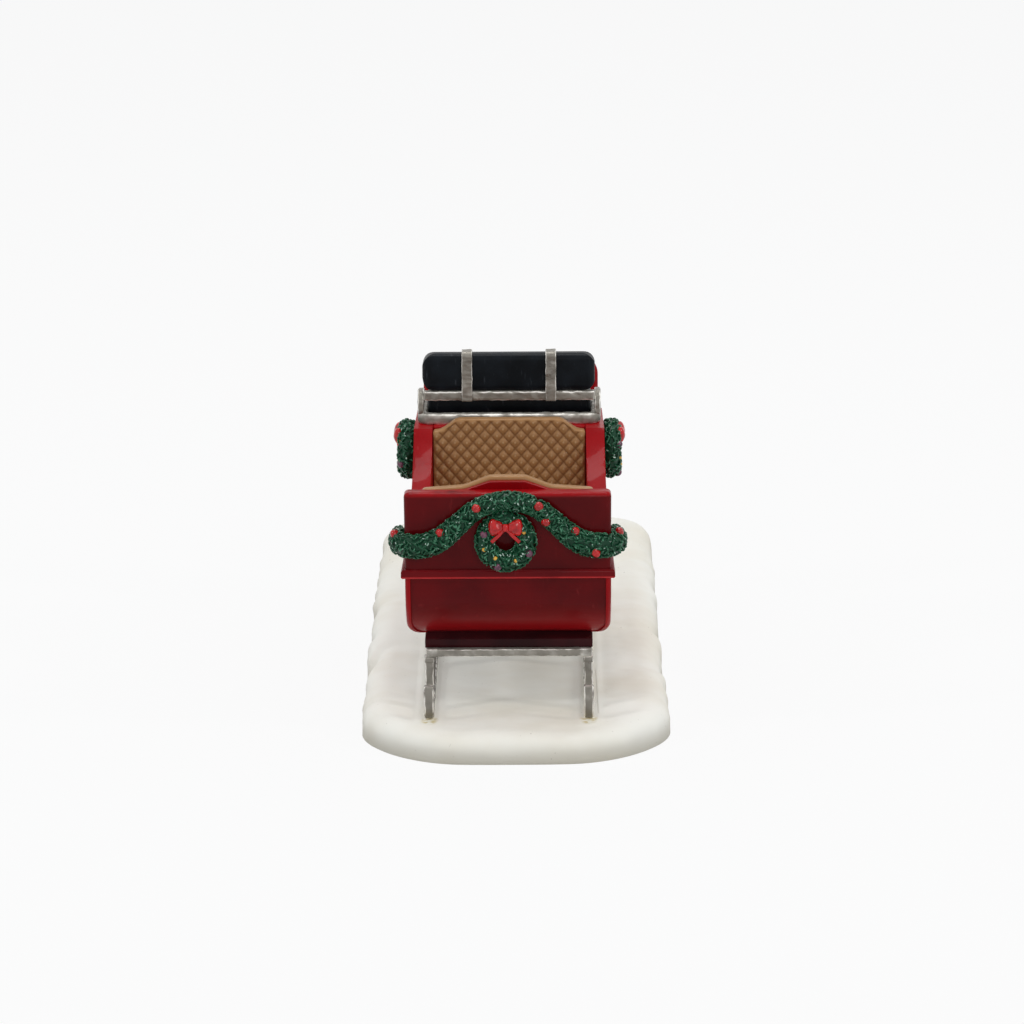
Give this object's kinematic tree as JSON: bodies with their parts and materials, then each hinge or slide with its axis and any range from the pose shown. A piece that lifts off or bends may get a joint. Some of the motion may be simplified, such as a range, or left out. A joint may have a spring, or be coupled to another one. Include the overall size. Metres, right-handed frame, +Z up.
{
  "type": "toy vis-a-vis sleigh on a snow plinth",
  "caption": "Cast table-top model of an open vis-a-vis sleigh with facing seats, a raised box seat, runners, shafts, garland and wreaths, fixed on a snow plinth.",
  "frame": {"origin": "middle of the plinth's underside", "axes": "+Y the way the sleigh travels, along the plinth's length; +X to the sleigh's right; +Z up"},
  "size_m": [0.076, 0.226, 0.0855],
  "materials": {
    "snow_white": "matt white paint on cast resin, slightly creamy",
    "silver_paint": "dull silver paint on cast resin, worn brighter on its edges",
    "body_red": "glossy deep red paint on cast resin",
    "sill_red": "very dark red gloss paint on cast resin",
    "tan_upholstery": "satin tan paint on cast resin, modelled as buttoned upholstery",
    "black_upholstery": "satin black paint on cast resin",
    "foliage_green": "glossy dark green paint on cast resin foliage",
    "berry_red": "glossy bright red paint on cast resin"
  },
  "bodies": {
    "root": {"belt_moulding": "body_red", "bow_left": "berry_red", "bow_rear": "berry_red", "bow_right": "berry_red", "box_arm_left": "silver_paint", "box_arm_right": "silver_paint", "box_back": "black_upholstery", "box_base": "body_red", "box_cushion": "black_upholstery", "box_lower_rail": "silver_paint", "box_strap_left": "silver_paint", "box_strap_right": "silver_paint", "box_upper_rail": "silver_paint", "crossbar_front": "silver_paint", "crossbar_middle": "silver_paint", "crossbar_rear": "silver_paint", "dash": "body_red", "draft_bar": "silver_paint", "floor_board": "body_red", "front_seat_back": "tan_upholstery", "front_seat_base": "body_red", "front_seat_cushion": "tan_upholstery", "garland_berries": "berry_red", "knee_front_left": "silver_paint", "knee_front_right": "silver_paint", "knee_middle_left": "silver_paint", "knee_middle_right": "silver_paint", "knee_rear_left": "silver_paint", "knee_rear_right": "silver_paint", "rear_crest_board": "body_red", "rear_garland": "foliage_green", "rear_panel": "body_red", "rear_seat_back": "tan_upholstery", "rear_seat_base": "body_red", "rear_seat_cushion": "tan_upholstery", "runner_left": "silver_paint", "runner_right": "silver_paint", "shaft_left": "silver_paint", "shaft_right": "silver_paint", "shaft_yoke": "silver_paint", "side_panel_left": "body_red", "side_panel_right": "body_red", "sill_board": "sill_red", "snow_plinth": "snow_white", "wreath_left": "foliage_green", "wreath_rear": "foliage_green", "wreath_right": "foliage_green"}
  },
  "joints": []
}
